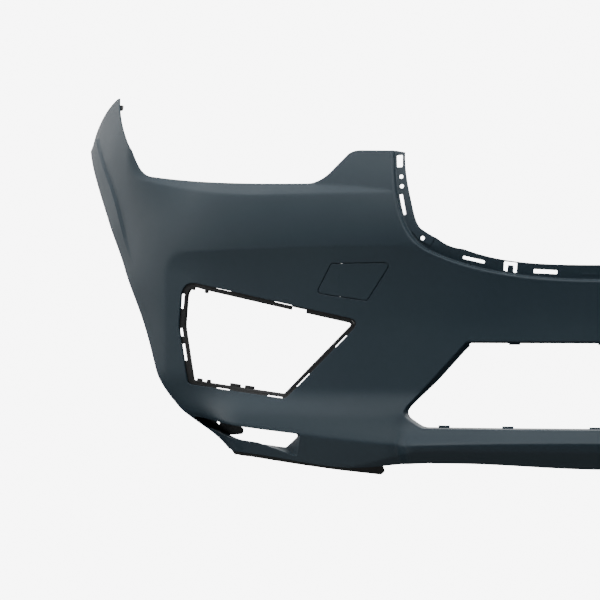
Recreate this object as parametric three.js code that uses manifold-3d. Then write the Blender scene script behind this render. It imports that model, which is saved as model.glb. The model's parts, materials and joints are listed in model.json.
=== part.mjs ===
// Front bumper cover of a mid-size SUV, as a set of separate moulded and fitted pieces.
//
// Millimetres. +X is the vehicle's left, +Y is rearwards and +Z is up. The origin is on the flat rear
// face of the carrier pad, in the middle of the flange under the grille opening. "right" and "left"
// in the names are the vehicle's own sides, so right is -X. All but the towing-eye cover is mirrored.
import * as THREE from 'three';
import { mergeVertices } from 'three/addons/utils/BufferGeometryUtils.js';
import Module from 'manifold-3d';

// ---- driving dimensions ----
const WALL = 3;                 // moulded wall of the cover
const GAP = 0.3;                // clearance between pieces that touch
const NOSE = -29;               // Y of the plan curve in the middle of the car
const LOWEST = -345;            // the raw moulding runs from here ...
const HIGHEST = 345;            // ... up to here before its edges are trimmed
const COLUMNS = 20;             // strips across each half of the moulding
const ARCH = { y: NOSE + 925, z: -347, radius: 700 };
const ARCH_START = Math.PI - 0.0686;
const ARCH_CURVE = 8;           // curve segments of the arch; an arc takes two facets for each
const ARCH_FLANGE = 20;         // how far the wheel-arch flange turns in
const WING_TOP = { y: NOSE + 431, z: 317 };
const WING_BOW = { y: NOSE + 497, z: 296 };  // pulls the joint to the fender into a curve
const WING_REAR_Z = 240;        // where the arch ends and the wing's joint to the fender starts
const GRILLE_STEP = 12;         // grille flange behind the painted face
const INTAKE_RETURN = 24;
const TRAY_FLANGE = 30;         // flange under the nose that carries the undertray
const TRAY_HALF = 338;
const TRAY_FACETS = 16;         // across each half of the undertray flange
const PAD = { width: 64, depth: 6, height: 10 };   // flat seat on the rear of the grille flange
const TOW_GAP = 1;              // seam around the towing-eye cover
const TOW_WALL = 2.4;
const TOW_AXIS = { x: 425, top: 15, foot: -41, lean: 0.05, depth: 4.8 };
const PIN_RADIUS = 1.3;
const CLIP = { width: 12, reach: 13, sheet: 1 };
const PLAN = new THREE.CubicBezierCurve(
  new THREE.Vector2(0, 0),
  new THREE.Vector2(560, 0),
  new THREE.Vector2(840, 224),
  new THREE.Vector2(940, 548),
);

const PRIMER = { color: 0x3d4854, roughness: 0.5, metalness: 0 };
const BLACK = { color: 0x141416, roughness: 0.6, metalness: 0 };
const STEEL = { color: 0x8d9196, roughness: 0.35, metalness: 1 };

const wasm = await Module();
wasm.setup();

// ---- shape of the painted face ----
const bend = (u, radius) => 0.5 * (u + Math.sqrt(u * u + radius * radius));
const blend = (from, to, x) => THREE.MathUtils.smoothstep(x, Math.min(from, to), Math.max(from, to));
const rise = (from, to, x) => (to > from ? blend(from, to, x) : 1 - blend(from, to, x));

const ledgeLine = (x) => 131 + 33 * (Math.max(x - 560, 0) / 240) ** 2;
const shoulderLine = (x) => (-272.2 + 0.12 * x) * rise(300, 345, x) + -250 * rise(345, 300, x);
const underLine = (x) => Math.max(-287 - 32 * rise(270, 430, x), bottomLine(x) + 2);

function ledgeHeight(x) {
  const u = THREE.MathUtils.clamp((x - 337) / 141, 0, 1);
  return 14 * (1.5 * u - 0.5 * u * u) + 40 * rise(478, 520, x);
}

function lowerLine(x) {
  const out = Math.max(x - 313, 0) / 387;
  const centre = Math.min(x, 313) / 313;
  return -272 - 7 * centre * centre + 42 * out ** 1.35;
}

function bottomLine(x) {
  return -316 + 8 * rise(0, 230, x) - 11 * rise(270, 417, x) + 20 * rise(400, 620, x);
}

// Recessed panel around the lamp opening, a rounded corner at the wing that fades towards the chin.
function panelRecess(x, z) {
  const radius = 38;
  const sideways = radius - (742 - x);
  const upwards = radius - (43 - 6 * rise(400, 760, x) - z);
  const corner = Math.hypot(Math.max(sideways, 0), Math.max(upwards, 0));
  const inside = radius - corner - Math.min(Math.max(sideways, upwards), 0);
  return -11 * (1 - Math.exp(-bend(inside, 3) / 45)) * rise(-238, -190, z);
}

// Distance of the face in front of the plan curve, at half-width x and height z.
function faceOffset(x, z) {
  const front = rise(760, 600, x);
  const brow = -(bend(z - 45, 16) ** 2) / 540;
  const wingTop = -(bend(z - 190, 30) ** 2) / 660;
  const ledge = rise(830, 760, x) * rise(337, 345, x)
    * (bend(z - ledgeLine(x), 3) - bend(z - ledgeLine(x) - ledgeHeight(x), 3));
  const belly = -0.09 * bend(45 - z, 20) + 0.13 * bend(-82 - z, 25);
  const shoulder = (0.32 + 0.8 * rise(330, 300, x)) * bend(shoulderLine(x) - z, 12);
  const lower = (front * (0.36 + 0.8 * rise(330, 300, x)) + 0.35) * bend(lowerLine(x) - z, 3);
  const under = 0.8 * bend(underLine(x) - z, 3) * rise(440, 400, x);
  const tuck = 0.044 * bend(-170 - z, 12) ** 1.5 * rise(590, 700, x);
  const haunch = 4 * Math.exp(-(((z + 5) / 60) ** 2)) * rise(700, 830, x);
  const upper = brow * rise(830, 700, x) + wingTop * rise(700, 830, x);
  return upper + haunch - ledge + panelRecess(x, z) + front * (belly + shoulder) - lower - under - tuck;
}

// Point of the moulding, depth behind its face; t runs along the plan curve, side is -1 or +1.
function facePoint(t, z, depth, side) {
  const plan = PLAN.getPoint(t);
  const tangent = PLAN.getTangent(t);
  const out = faceOffset(plan.x, z) - depth;
  return new THREE.Vector3(side * (plan.x + tangent.y * out), NOSE + plan.y - tangent.x * out, z);
}

// Parameter along the plan curve where `measure` of the point reaches `value`.
function findAlong(measure, value) {
  let low = 0;
  let high = 1;
  for (let step = 0; step < 30; step += 1) {
    const middle = (low + high) / 2;
    if (measure(middle) < value) low = middle;
    else high = middle;
  }
  return (low + high) / 2;
}

// Heights of the grid's rows in one column. They follow the creases of the face.
function rowHeights(x) {
  const lower = lowerLine(x);
  const shoulder = shoulderLine(x);
  const ledge = ledgeLine(x);
  const top = ledge + Math.min(ledgeHeight(x), 30);
  const heights = [LOWEST, bottomLine(x), underLine(x), lower, shoulder];
  heights.push(shoulder + (-82 - shoulder) / 2, -82, -20, 43 - 6 * rise(400, 760, x), 85, ledge, top);
  for (const part of [0.25, 0.5, 0.75, 1]) heights.push(top + (HIGHEST - top) * part);
  return heights;
}

// Point of the faceted moulding: straight between the grid's rows and between its columns.
function facetPoint(t, z, depth, side) {
  const column = Math.min(Math.floor(t * COLUMNS), COLUMNS - 1);
  const ends = [column, column + 1].map((place) => {
    const heights = rowHeights(PLAN.getPoint(place / COLUMNS).x);
    const row = heights.findIndex((height, i) => i > 0 && height >= z);
    const low = facePoint(place / COLUMNS, heights[row - 1], depth, side);
    const high = facePoint(place / COLUMNS, heights[row], depth, side);
    return low.lerp(high, (z - heights[row - 1]) / (heights[row] - heights[row - 1]));
  });
  return ends[0].lerp(ends[1], t * COLUMNS - column);
}

// Place on the moulding at half-width x, height z and a depth behind the face, with local axes:
// X along the moulding, Y straight in from the face and Z up.
function placeOn(x, z, depth, side) {
  const t = findAlong((value) => Math.abs(facetPoint(value, z, depth, side).x), x);
  const tangent = PLAN.getTangent(t);
  const inward = new THREE.Vector3(-side * tangent.y, tangent.x, 0);
  const up = new THREE.Vector3(0, 0, 1);
  const frame = new THREE.Matrix4().makeBasis(inward.clone().cross(up), inward, up);
  return frame.setPosition(facetPoint(t, z, depth, side));
}

// The same place, tilted so that its Y is square to the slope of the face there.
function squareOn(x, z, depth, side) {
  const place = placeOn(x, z, depth, side);
  const inward = new THREE.Vector3().setFromMatrixColumn(place, 1);
  const here = new THREE.Vector3().setFromMatrixPosition(place);
  const above = new THREE.Vector3().setFromMatrixPosition(placeOn(x, z + 5, depth, side));
  const slope = -above.sub(here).dot(inward) / 5;
  return place.multiply(new THREE.Matrix4().makeRotationX(Math.atan(slope)));
}

// ---- solids ----
function toSolid(geometry) {
  const bare = geometry.clone();
  bare.deleteAttribute('normal');
  bare.deleteAttribute('uv');
  const merged = mergeVertices(bare, 1e-4);
  const mesh = new wasm.Mesh({
    numProp: 3,
    vertProperties: merged.attributes.position.array,
    triVerts: new Uint32Array(merged.index.array),
  });
  return new wasm.Manifold(mesh);
}

function toGeometry(solid) {
  const mesh = solid.getMesh();
  const geometry = new THREE.BufferGeometry();
  geometry.setAttribute('position', new THREE.BufferAttribute(mesh.vertProperties, 3));
  geometry.setIndex(new THREE.BufferAttribute(mesh.triVerts, 1));
  return geometry;
}

// Closed layer of the moulding between two depths behind its face, over the whole width.
function layer(front, back) {
  const positions = [];
  const index = [];
  const rows = rowHeights(0).length;
  const count = 2 * COLUMNS + 1;
  for (const depth of [front, back]) {
    for (let column = -COLUMNS; column <= COLUMNS; column += 1) {
      const t = Math.abs(column) / COLUMNS;
      for (const z of rowHeights(PLAN.getPoint(t).x)) {
        positions.push(...facePoint(t, z, depth, Math.sign(column) || 1).toArray());
      }
    }
  }
  const at = (sheet, column, row) => (sheet * count + column) * rows + row;
  const quad = (a, b, c, d, flip = false) => index.push(...(flip ? [b, c, d, b, d, a] : [a, b, c, a, c, d]));
  for (let c = 0; c < count - 1; c += 1) {
    for (let r = 0; r < rows - 1; r += 1) {
      const right = c < COLUMNS;
      quad(at(0, c, r), at(0, c + 1, r), at(0, c + 1, r + 1), at(0, c, r + 1), right);
      quad(at(1, c, r), at(1, c, r + 1), at(1, c + 1, r + 1), at(1, c + 1, r), right);
    }
    quad(at(0, c, 0), at(1, c, 0), at(1, c + 1, 0), at(0, c + 1, 0));
    quad(at(0, c, rows - 1), at(0, c + 1, rows - 1), at(1, c + 1, rows - 1), at(1, c, rows - 1));
  }
  for (let r = 0; r < rows - 1; r += 1) {
    quad(at(0, 0, r), at(0, 0, r + 1), at(1, 0, r + 1), at(1, 0, r));
    quad(at(0, count - 1, r), at(1, count - 1, r), at(1, count - 1, r + 1), at(0, count - 1, r + 1));
  }
  const geometry = new THREE.BufferGeometry();
  geometry.setAttribute('position', new THREE.Float32BufferAttribute(positions, 3));
  geometry.setIndex(index);
  return toSolid(geometry);
}

// Straight bar of a front-view outline, from nose to wing tips.
function barThrough(shape, curveSegments = 8) {
  const geometry = new THREE.ExtrudeGeometry(shape, { depth: 1400, curveSegments, bevelEnabled: false });
  return toSolid(geometry.rotateX(Math.PI / 2).translate(0, 1000, 0));
}

// Straight bar of a side-view outline, over the given stretch of X.
function barAcross(shape, from, to, curveSegments = 8) {
  const geometry = new THREE.ExtrudeGeometry(shape, { depth: to - from, curveSegments, bevelEnabled: false });
  const turn = new THREE.Matrix4().makeBasis(
    new THREE.Vector3(0, 1, 0),
    new THREE.Vector3(0, 0, 1),
    new THREE.Vector3(1, 0, 0),
  );
  return toSolid(geometry.applyMatrix4(turn).translate(from, 0, 0));
}

function boxSolid(size, centre) {
  return toSolid(new THREE.BoxGeometry(...size).translate(...centre));
}

// ---- outlines ----
// Polygon with rounded corners, given as [x, z, radius]; side -1 leaves it, +1 mirrors it.
function roundedShape(corners, side = -1) {
  const points = corners.map(([x, z]) => new THREE.Vector2(-side * x, z));
  const shape = new THREE.Shape();
  points.forEach((corner, i) => {
    const radius = corners[i][2];
    const back = points[(i + points.length - 1) % points.length].clone().sub(corner);
    const ahead = points[(i + 1) % points.length].clone().sub(corner);
    const half = Math.acos(back.clone().normalize().dot(ahead.clone().normalize())) / 2;
    const cut = Math.min(radius / Math.tan(half), 0.45 * back.length(), 0.45 * ahead.length());
    const start = corner.clone().addScaledVector(back.normalize(), cut);
    const end = corner.clone().addScaledVector(ahead.normalize(), cut);
    if (i === 0) shape.moveTo(start.x, start.y);
    else shape.lineTo(start.x, start.y);
    shape.quadraticCurveTo(corner.x, corner.y, end.x, end.y);
  });
  shape.closePath();
  return shape;
}

// The same corners moved in from every edge by `distance` (corners run clockwise in front view).
function inset(corners, distance) {
  const points = corners.map(([x, z]) => new THREE.Vector2(x, z));
  const turn = Math.sign(THREE.ShapeUtils.area(points));
  return corners.map(([x, z, radius], i) => {
    const before = points[(i + points.length - 1) % points.length];
    const after = points[(i + 1) % points.length];
    const into = new THREE.Vector2(x, z).sub(before).normalize();
    const away = after.clone().sub(new THREE.Vector2(x, z)).normalize();
    const cross = into.cross(away);
    const slide = cross === 0 ? 0 : distance / Math.abs(cross);
    const move = away.sub(into).multiplyScalar(slide * Math.sign(cross) * turn);
    return [x + move.x, z + move.y, Math.max(radius - distance, 1)];
  });
}

const LAMP = [[-711, -11, 27], [-390, -79, 12], [-520, -208, 12], [-701, -188, 9], [-718, -90, 60]];
const TOW = [[-440, 15, 6], [-338, 16, 8], [-380, -47, 8], [-467, -34, 7]];
const SLOT = [
  [-699, -243, 4], [-491, -265, 4], [-498, -302, 4], [-566, -281, 25], [-634, -272, 18], [-672, -262, 10],
];

// The chin opening, symmetric about the middle.
const INTAKE = [
  [-216, -112.5, 8], [216, -112.5, 8], [325, -230, 22], [290, -252, 30], [-290, -252, 30], [-325, -230, 22],
];

// Trim line of the top: wing, headlamp ledge, pillar and grille opening, of one side.
function traceTop(path, side) {
  const x = (value) => -side * value;
  const steps = [
    () => path.bezierCurveTo(x(-140), -17.5, x(-225), 3, x(-284), 33),
    () => path.bezierCurveTo(x(-334), 59, x(-339), 130, x(-343.5), 200),
    () => path.lineTo(x(-396), 202),
    () => path.quadraticCurveTo(x(-407), 202, x(-415), 197),
    () => path.lineTo(x(-440), 171.5),
    () => path.quadraticCurveTo(x(-460), 149, x(-484), 148.2),
    () => path.bezierCurveTo(x(-610), 150, x(-700), 157, x(-779), 169.5),
    () => path.bezierCurveTo(x(-800), 174, x(-808), 192, x(-820), 218),
    () => path.lineTo(x(-893.5), 395),
  ];
  steps.forEach((step) => step());
}

function topShape(side) {
  const shape = new THREE.Shape();
  shape.moveTo(0, -17.5);
  traceTop(shape, side);
  shape.lineTo(0, 395);
  return shape;
}

function grilleFlangeShape(side) {
  const x = (value) => -side * value;
  const shape = new THREE.Shape();
  shape.moveTo(0, -20.5);
  shape.bezierCurveTo(x(-140), -20.5, x(-227), 0, x(-287), 31);
  shape.bezierCurveTo(x(-338), 57, x(-343), 130, x(-347), 200);
  shape.lineTo(x(-320), 197);
  shape.bezierCurveTo(x(-320), 165, x(-312), 135, x(-304), 101);
  shape.bezierCurveTo(x(-298), 76, x(-293), 66, x(-266), 56);
  shape.bezierCurveTo(x(-252), 45, x(-240), 39, x(-222), 37.5);
  shape.bezierCurveTo(x(-160), 14, x(-100), 11, 0, 11);
  return shape;
}

// Bar whose section is the band between two insets of a rounded polygon.
function bandThrough(corners, outer, inner, side = -1) {
  const whole = barThrough(roundedShape(inset(corners, outer), side), 3);
  return whole.subtract(barThrough(roundedShape(inset(corners, inner), side), 3));
}

// Side-view outline of everything behind the wheel arch and the wing's joint to the fender.
function archShape(clearance = 0) {
  const radius = ARCH.radius + clearance;
  const rear = Math.PI - Math.asin((WING_REAR_Z - ARCH.z) / radius);
  const shape = new THREE.Shape();
  shape.moveTo(ARCH.y - radius, LOWEST - 20);
  shape.lineTo(ARCH.y - radius, ARCH.z);
  shape.absarc(ARCH.y, ARCH.z, radius, Math.PI, rear, true);
  shape.quadraticCurveTo(WING_BOW.y, WING_BOW.z, WING_TOP.y, WING_TOP.z);
  shape.lineTo(WING_TOP.y - 22, WING_TOP.z);
  shape.lineTo(WING_TOP.y - 22, HIGHEST + 20);
  shape.lineTo(1300, HIGHEST + 20);
  shape.lineTo(1300, LOWEST - 20);
  return shape;
}

const archAngle = (z) => Math.PI - Math.asin((z - ARCH.z) / ARCH.radius);
const ARCH_END = archAngle(WING_REAR_Z - 12);

function archFlangeShape() {
  const shape = new THREE.Shape();
  shape.absarc(ARCH.y, ARCH.z, ARCH.radius, ARCH_START, ARCH_END, true);
  shape.absarc(ARCH.y, ARCH.z, ARCH.radius + WALL, ARCH_END, ARCH_START, false);
  return shape;
}

function trayFlangeShape() {
  const shape = new THREE.Shape();
  const count = 2 * TRAY_FACETS;
  const xs = Array.from({ length: count + 1 }, (_, i) => TRAY_HALF * (i / TRAY_FACETS - 1));
  xs.forEach((x, i) => (i ? shape.lineTo(x, bottomLine(Math.abs(x))) : shape.moveTo(x, bottomLine(-x))));
  xs.reverse().forEach((x) => shape.lineTo(x, bottomLine(Math.abs(x)) + WALL));
  return shape;
}

function belowShape() {
  const shape = new THREE.Shape();
  shape.moveTo(-960, LOWEST - 20);
  shape.lineTo(960, LOWEST - 20);
  for (let i = 32; i >= -32; i -= 1) shape.lineTo(i * 30, bottomLine(Math.abs(i * 30)));
  return shape;
}

// ---- the moulded cover ----
const SLOTS = [
  [-328.5, 182, 10, 20, 2],
  [-321.5, 110, 6, 34, 11],
  [-205, 20, 36, 4.6, -13],
  [-90, 0.5, 38, 6, -3],
];

function grilleSlots(side) {
  const cuts = SLOTS.map(([x, z, width, height, lean]) => {
    const box = new THREE.BoxGeometry(width, 300, height);
    box.rotateY(THREE.MathUtils.degToRad(-side * lean));
    return toSolid(box.translate(-side * x, 100, z));
  });
  for (const [x, z] of [[-325, 156], [-323.5, 140], [-288, 55]]) {
    const pin = new THREE.CylinderGeometry(3.4, 3.4, 300, 12);
    cuts.push(toSolid(pin.translate(-side * x, 100, z)));
  }
  const tongue = [
    [-156, 17], [-135, 14.5], [-136.5, -1.5], [-141.5, -0.5],
    [-141, 10.5], [-150, 11.5], [-151, 1], [-157, 2.5],
  ];
  const shape = new THREE.Shape(tongue.map(([x, z]) => new THREE.Vector2(-side * x, z)));
  cuts.push(barThrough(shape));
  return cuts;
}

function bothSides(make) {
  return [-1, 1].map(make);
}

function unite(solids) {
  return solids.reduce((sum, solid) => sum.add(solid));
}

function moulding() {
  const face = layer(0, WALL);
  const step = layer(1, GRILLE_STEP + WALL);
  const shelf = layer(GRILLE_STEP, GRILLE_STEP + WALL);
  const deep = layer(1, INTAKE_RETURN);
  const openings = bothSides((side) => barThrough(topShape(side), 8));
  openings.push(...bothSides((side) => barThrough(roundedShape(LAMP, side), 3)));
  openings.push(...bothSides((side) => barThrough(roundedShape(SLOT, side), 3)));
  openings.push(barThrough(roundedShape(INTAKE), 3), barThrough(roundedShape(TOW), 3));
  openings.push(barThrough(belowShape()));
  const cover = face.subtract(unite(openings));
  const wall = [];
  for (const side of [-1, 1]) {
    const flange = barThrough(grilleFlangeShape(side), 7);
    const rim = flange.intersect(step).subtract(barThrough(topShape(side), 8));
    const shelfPart = grilleSlots(side).reduce((part, cut) => part.subtract(cut), flange.intersect(shelf));
    wall.push(rim, shelfPart);
    wall.push(bandThrough(SLOT, -1.5, 1.5, side).intersect(layer(1, 18)));
  }
  wall.push(bandThrough(INTAKE, -1.5, 1.5).intersect(deep));
  const under = barThrough(trayFlangeShape()).intersect(layer(1, TRAY_FLANGE));
  wall.push(under, barAcross(archFlangeShape(), -1000, 1000, ARCH_CURVE).intersect(layer(1, ARCH_FLANGE)));
  const pad = boxSolid([PAD.width, PAD.depth, PAD.height], [0, -PAD.depth / 2, 0]);
  const lugs = LUGS.map((place) => hingeBlock(LUG.width, LUG.length, place, TOW_AXIS.depth - 1));
  const bosses = bothSides(bracketBoss);
  const sockets = RIVETS.flatMap((x) => bothSides((side) => rivetSocket(x, side)));
  return [...wall, pad, ...lugs, ...bosses].reduce((sum, part) => sum.add(part), cover)
    .subtract(barAcross(archShape(), -1000, 1000, ARCH_CURVE))
    .subtract(unite(sockets));
}

// ---- black trim frame of a lamp opening ----
// Stretches of the frame, as [edge, start, end] with the ends as fractions of that edge.
const FRAME_SLOTS = [
  [0, 0.2, 0.29], [0, 0.53, 0.63], [1, 0.19, 0.34], [1, 0.68, 0.85],
  [2, 0.03, 0.18], [2, 0.56, 0.7], [3, 0.41, 0.7], [3, 0.83, 1], [4, 0.38, 0.7],
];
const FRAME_BREAK = [0, 0.63, 0.71];

// Bar over one stretch of an edge of the lamp outline, between two distances in from that edge.
function edgeBar([edge, start, end], outer, inner, side) {
  const from = new THREE.Vector2(LAMP[edge][0], LAMP[edge][1]);
  const next = LAMP[(edge + 1) % LAMP.length];
  const along = new THREE.Vector2(next[0], next[1]).sub(from);
  const inward = new THREE.Vector2(along.y, -along.x).normalize();
  const corner = (fraction, distance) => {
    const point = from.clone().addScaledVector(along, fraction).addScaledVector(inward, distance);
    return new THREE.Vector2(-side * point.x, point.y);
  };
  const ring = [corner(start, outer), corner(end, outer), corner(end, inner), corner(start, inner)];
  return barThrough(new THREE.Shape(ring));
}

function lampFrame(side) {
  const ring = bandThrough(LAMP, 2, 8, side).intersect(layer(WALL + GAP, 9));
  const tabs = bandThrough(LAMP, -7, 3, side).intersect(layer(WALL + GAP, WALL + GAP + 2.2));
  const slots = FRAME_SLOTS.map((slot) => edgeBar(slot, -9, 2, side));
  const gap = edgeBar(FRAME_BREAK, 1.9, 9, side);
  return ring.subtract(gap).add(tabs.subtract(unite(slots)));
}

// ---- towing-eye cover, its pin and the lugs that carry it ----
// Frame of the hinge: origin in the middle of the pin, Z up along it, Y in from the face.
function towHinge() {
  const at = (z) => {
    const x = TOW_AXIS.x + TOW_AXIS.lean * ((TOW_AXIS.top + TOW_AXIS.foot) / 2 - z);
    return new THREE.Vector3().setFromMatrixPosition(placeOn(x, z, TOW_AXIS.depth, -1));
  };
  const upper = at(TOW_AXIS.top);
  const lower = at(TOW_AXIS.foot);
  const axis = upper.clone().sub(lower).normalize();
  const level = new THREE.Vector3(axis.z, 0, -axis.x).normalize();
  const inward = axis.clone().cross(level).normalize();
  const middle = upper.add(lower).multiplyScalar(0.5);
  return new THREE.Matrix4().makeBasis(inward.clone().cross(axis), inward, axis).setPosition(middle);
}

const HINGE = towHinge();
const LUGS = [37, -37];         // places along the pin, up and down from its middle
const LUG = { width: 7, length: 6, inward: 3.4 };

function pinSolid(radius, from, to) {
  const geometry = new THREE.CylinderGeometry(radius, radius, to - from, 16).rotateX(Math.PI / 2);
  return toSolid(geometry.translate(0, 0, (from + to) / 2).applyMatrix4(HINGE));
}

function hingeBlock(width, length, place, outward) {
  const depth = outward + LUG.inward;
  const box = new THREE.BoxGeometry(width, depth, length);
  const solid = toSolid(box.translate(0, LUG.inward - depth / 2, place).applyMatrix4(HINGE));
  return solid.subtract(pinSolid(PIN_RADIUS + GAP, place - length, place + length));
}

function towCover() {
  const plate = barThrough(roundedShape(inset(TOW, TOW_GAP)), 3).intersect(layer(0, TOW_WALL));
  return plate.add(hingeBlock(8, 22, 0, TOW_AXIS.depth - 1.2)).subtract(pinSolid(PIN_RADIUS + GAP, -40, 40));
}

function towPin() {
  const ends = LUGS.map((place) => place + Math.sign(place) * (LUG.length / 2 + 2));
  return pinSolid(PIN_RADIUS, ends[1], ends[0]);
}

// ---- fixings ----
function turned(profile, frame, segments = 14) {
  const points = profile.map(([radius, depth]) => new THREE.Vector2(radius, depth));
  return toSolid(new THREE.LatheGeometry(points, segments).applyMatrix4(frame));
}

const BRACKET_SCREW = { x: 652, z: -222, depth: 18.5, sheet: 3 };
const bracketPlace = (side) => squareOn(BRACKET_SCREW.x, BRACKET_SCREW.z, BRACKET_SCREW.depth, side);

function bracketBoss(side) {
  const post = turned([[0, -17], [6, -17], [6, 0], [0, 0]], bracketPlace(side));
  const behind = layer(BRACKET_SCREW.depth - GAP, BRACKET_SCREW.depth + 6);
  return post.subtract(behind).subtract(turned([[0, -12], [1.9, -12], [1.9, 3], [0, 3]], bracketPlace(side)));
}

// Screw or rivet: its head rests on the back of a sheet that follows the face.
function seated(head, shank, sheetBack, frame) {
  const base = turned([[0, -1], [head[0][0], -1], ...head, [0, head.at(-1)[1]]], frame);
  return base.subtract(layer(sheetBack - 4, sheetBack + GAP)).add(turned(shank, frame));
}

function bracketScrew(side) {
  const back = BRACKET_SCREW.depth + BRACKET_SCREW.sheet;
  const frame = bracketPlace(side).multiply(new THREE.Matrix4().makeTranslation(0, BRACKET_SCREW.sheet, 0));
  return seated([[4.5, 2], [2.5, 3]], [[0, -13], [1.6, -12], [1.6, 1.5], [0, 1.5]], back, frame);
}

function slotBracket(side) {
  const outline = [
    [-686, -212, 6], [-632, -206, 6], [-632, -250, 4], [-595, -258, 4],
    [-597, -269, 4], [-645, -277, 8], [-700, -258, 8],
  ];
  const plate = barThrough(roundedShape(outline, side), 3)
    .intersect(layer(BRACKET_SCREW.depth, BRACKET_SCREW.depth + BRACKET_SCREW.sheet));
  const eye = [[-653, -249, 1], [-646, -250, 1], [-646, -257, 1], [-653, -256, 1]];
  const hole = turned([[0, -8], [1.9, -8], [1.9, 12], [0, 12]], bracketPlace(side));
  const wheel = barAcross(archShape(WALL + 3), -1000, 1000, ARCH_CURVE);
  return plate.subtract(barThrough(roundedShape(eye, side), 1)).subtract(hole).subtract(wheel);
}

const RIVETS = [402, 438, 474];
const DEFLECTOR = { front: WALL + GAP, back: WALL + GAP + 2.5 };
const rivetPlace = (x, side) => squareOn(x, bottomLine(x) + 7, DEFLECTOR.back, side);

function cornerDeflector(side) {
  const shape = new THREE.Shape();
  const edge = [];
  for (let x = 356; x <= 480; x += 24) edge.push([x, bottomLine(x) + 14]);
  for (let x = 492; x <= 628; x += 34) edge.push([x, bottomLine(x) + 6 - 7 * rise(590, 628, x)]);
  edge.push([644, -301], [644, -311], [630, -311], [610, -305], [582, -306], [494, -316]);
  edge.push([417, -324], [358, -330], [351, -324]);
  edge.forEach(([x, z], i) => (i ? shape.lineTo(side * x, z) : shape.moveTo(side * x, z)));
  const sheet = barThrough(shape).intersect(layer(DEFLECTOR.front, DEFLECTOR.back));
  const holes = RIVETS.map((x) => turned([[0, -5], [2.9, -5], [2.9, 3], [0, 3]], rivetPlace(x, side)));
  return sheet.subtract(unite(holes)).subtract(barAcross(archShape(), -1000, 1000, ARCH_CURVE));
}

function rivet(x, side) {
  const shank = [[0, -3], [2, -3], [2.6, -2], [2.6, 1.5], [0, 1.5]];
  return seated([[6, 1.6], [4, 2.4]], shank, DEFLECTOR.back, rivetPlace(x, side));
}

const rivetSocket = (x, side) => turned([[0, -3.8], [2.9, -3.8], [2.9, 0], [0, 0]], rivetPlace(x, side));

function wingClip(side) {
  const outline = [[-866, 294, 2], [-866, 304, 2], [-851, 304, 3], [-851, 294, 3]];
  return barThrough(roundedShape(outline, side), 2).intersect(layer(WALL + GAP, 10));
}

// Folded spring nut: local X across it, +Y out of its mouth, Z through the sheet it grips.
function springNut(frame) {
  const slot = WALL + 2 * GAP;
  const half = slot / 2 + CLIP.sheet;
  const profile = [
    [0, -half], [CLIP.reach, -half], [CLIP.reach, -slot / 2], [CLIP.sheet, -slot / 2],
    [CLIP.sheet, slot / 2], [CLIP.reach, slot / 2], [CLIP.reach, half], [0, half],
  ];
  const shape = new THREE.Shape(profile.map(([y, z]) => new THREE.Vector2(y, z)));
  const geometry = new THREE.ExtrudeGeometry(shape, { depth: CLIP.width, bevelEnabled: false });
  geometry.translate(0, 0, -CLIP.width / 2);
  const turn = new THREE.Matrix4().makeBasis(
    new THREE.Vector3(0, 1, 0),
    new THREE.Vector3(0, 0, 1),
    new THREE.Vector3(1, 0, 0),
  );
  const barrel = new THREE.CylinderGeometry(3.6, 3.6, 4, 12).rotateX(Math.PI / 2);
  barrel.translate(0, CLIP.reach / 2, half + 1.5);
  const body = toSolid(geometry.applyMatrix4(turn)).add(toSolid(barrel));
  const bore = new THREE.CylinderGeometry(2, 2, 20, 10).rotateX(Math.PI / 2).translate(0, CLIP.reach / 2, 0);
  return toSolid(toGeometry(body.subtract(toSolid(bore))).applyMatrix4(frame));
}

const TRAY_NUTS = [4, 12];      // facets of the flange that carry a nut, out from the middle
const ARCH_NUTS = [2, 7, 12];   // facets of the arch that carry a nut, upwards from its foot

function trayNut(facet, side) {
  const pitch = TRAY_HALF / TRAY_FACETS;
  const x = (facet + 0.5) * pitch;
  const z = bottomLine(x) + WALL / 2;
  const frame = placeOn(x, z, TRAY_FLANGE + CLIP.sheet + GAP + 2.2, side);
  const drop = Math.atan2(bottomLine(x + pitch / 2) - bottomLine(x - pitch / 2), pitch);
  return springNut(frame.multiply(new THREE.Matrix4().makeRotationY(-side * drop))
    .multiply(new THREE.Matrix4().makeRotationZ(Math.PI)));
}

// Half-width of the arch flange's free edge at an angle around the wheel.
function archEdge(angle, radius, side) {
  const z = ARCH.z + radius * Math.sin(angle);
  const y = ARCH.y + radius * Math.cos(angle);
  const t = findAlong((value) => facePoint(value, z, ARCH_FLANGE, side).y, y);
  return Math.abs(facePoint(t, z, ARCH_FLANGE, side).x);
}

function archNut(facet, side) {
  const turn = (ARCH_END - ARCH_START) / (2 * ARCH_CURVE);
  const angle = ARCH_START + (facet + 0.5) * turn;
  const radius = (ARCH.radius + WALL / 2) * Math.cos(turn / 2);
  const reach = CLIP.width / radius;
  const edge = Math.min(...[-reach, 0, reach].map((step) => archEdge(angle + step, ARCH.radius, side)));
  const outward = new THREE.Vector3(side, 0, 0);
  const through = new THREE.Vector3(0, Math.cos(angle), Math.sin(angle));
  const frame = new THREE.Matrix4().makeBasis(outward.clone().cross(through), outward, through);
  const y = ARCH.y + radius * Math.cos(angle);
  const z = ARCH.z + radius * Math.sin(angle);
  return springNut(frame.setPosition(side * (edge - CLIP.sheet - GAP), y, z));
}

// ---- assembly ----
const parts = new THREE.Group();

function addPart(name, solid, look) {
  const mesh = new THREE.Mesh(toGeometry(solid), new THREE.MeshStandardMaterial(look));
  mesh.name = name;
  parts.add(mesh);
  return mesh;
}

addPart('bumper_skin', moulding(), PRIMER);
addPart('tow_eye_cover', towCover(), PRIMER);
addPart('tow_cover_hinge_pin', towPin(), STEEL);

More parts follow.
